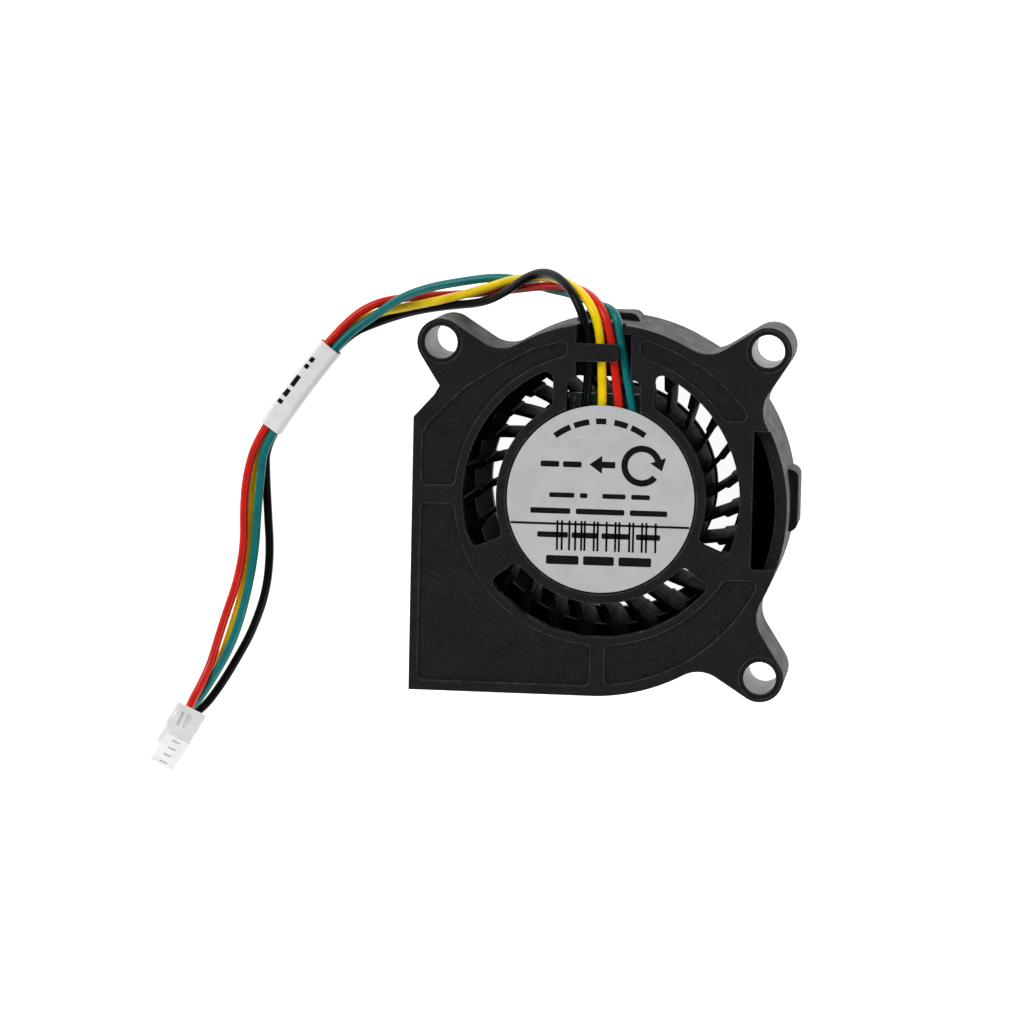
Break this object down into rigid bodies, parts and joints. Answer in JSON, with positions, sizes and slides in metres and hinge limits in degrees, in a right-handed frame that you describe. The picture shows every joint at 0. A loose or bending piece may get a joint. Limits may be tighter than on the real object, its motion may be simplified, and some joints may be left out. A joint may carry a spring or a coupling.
{
  "type": "centrifugal blower fan",
  "caption": "Square-cornered black plastic centrifugal blower with a side outlet, ears with mounting holes, a round grey label, a lead of thin coloured wires, a white marker sleeve and a plug.",
  "frame": {"origin": "where the rotor axis meets the back face of the casing", "axes": "+Z along the rotor axis, out of the labelled face; +Y towards the side that the wires leave by; -X out of the outlet"},
  "size_m": [0.0719, 0.0579, 0.02],
  "materials": {
    "housing": "fine matt black moulding",
    "impeller": "satin black moulding",
    "yoke": "zinc plated",
    "magnet": "matt dark bonded ferrite",
    "brass": "turned brass",
    "steel": "ground bearing steel",
    "lamination": "stacked silicon steel",
    "insulator": "cream nylon",
    "winding": "enamelled copper wire",
    "board": "green solder mask",
    "chip": "black epoxy",
    "capacitor": "tan ceramic",
    "resistor": "pale ceramic with tinned ends",
    "solder": "bright solder",
    "label": "satin silver-grey film",
    "wire_black": "soft vinyl",
    "wire_yellow": "soft vinyl",
    "wire_red": "soft vinyl",
    "wire_teal": "soft vinyl",
    "sleeve": "white vinyl tube",
    "connector": "natural white nylon",
    "contact": "tinned"
  },
  "bodies": {
    "housing": {"front_housing": "housing", "back_cover": "housing", "front_bearing_outer_race": "steel", "back_bearing_outer_race": "steel", "bearing_tube": "brass", "stator_core": "lamination", "front_insulator": "insulator", "back_insulator": "insulator", "winding_1": "winding", "winding_2": "winding", "winding_3": "winding", "winding_4": "winding", "circuit_board": "board", "driver_chip": "chip", "board_capacitor": "capacitor", "board_resistors": "resistor", "solder_joints": "solder", "label": "label", "wire_black": "wire_black", "wire_yellow": "wire_yellow", "wire_red": "wire_red", "wire_teal": "wire_teal", "marker_sleeve": "sleeve", "connector_housing": "connector", "connector_contacts": "contact"},
    "rotor": {"impeller": "impeller", "rotor_yoke": "yoke", "ring_magnet": "magnet", "rotor_boss": "brass", "shaft": "steel", "retaining_clip": "steel", "preload_spring": "steel", "front_bearing_inner_race": "steel", "back_bearing_inner_race": "steel", "front_bearing_balls": "steel", "back_bearing_balls": "steel"}
  },
  "joints": [
    {"name": "rotor_spin", "type": "hinge", "parent": "housing", "child": "rotor", "pos_m": [0, 0, 0], "axis": [0, 0, 1], "continuous": true}
  ]
}
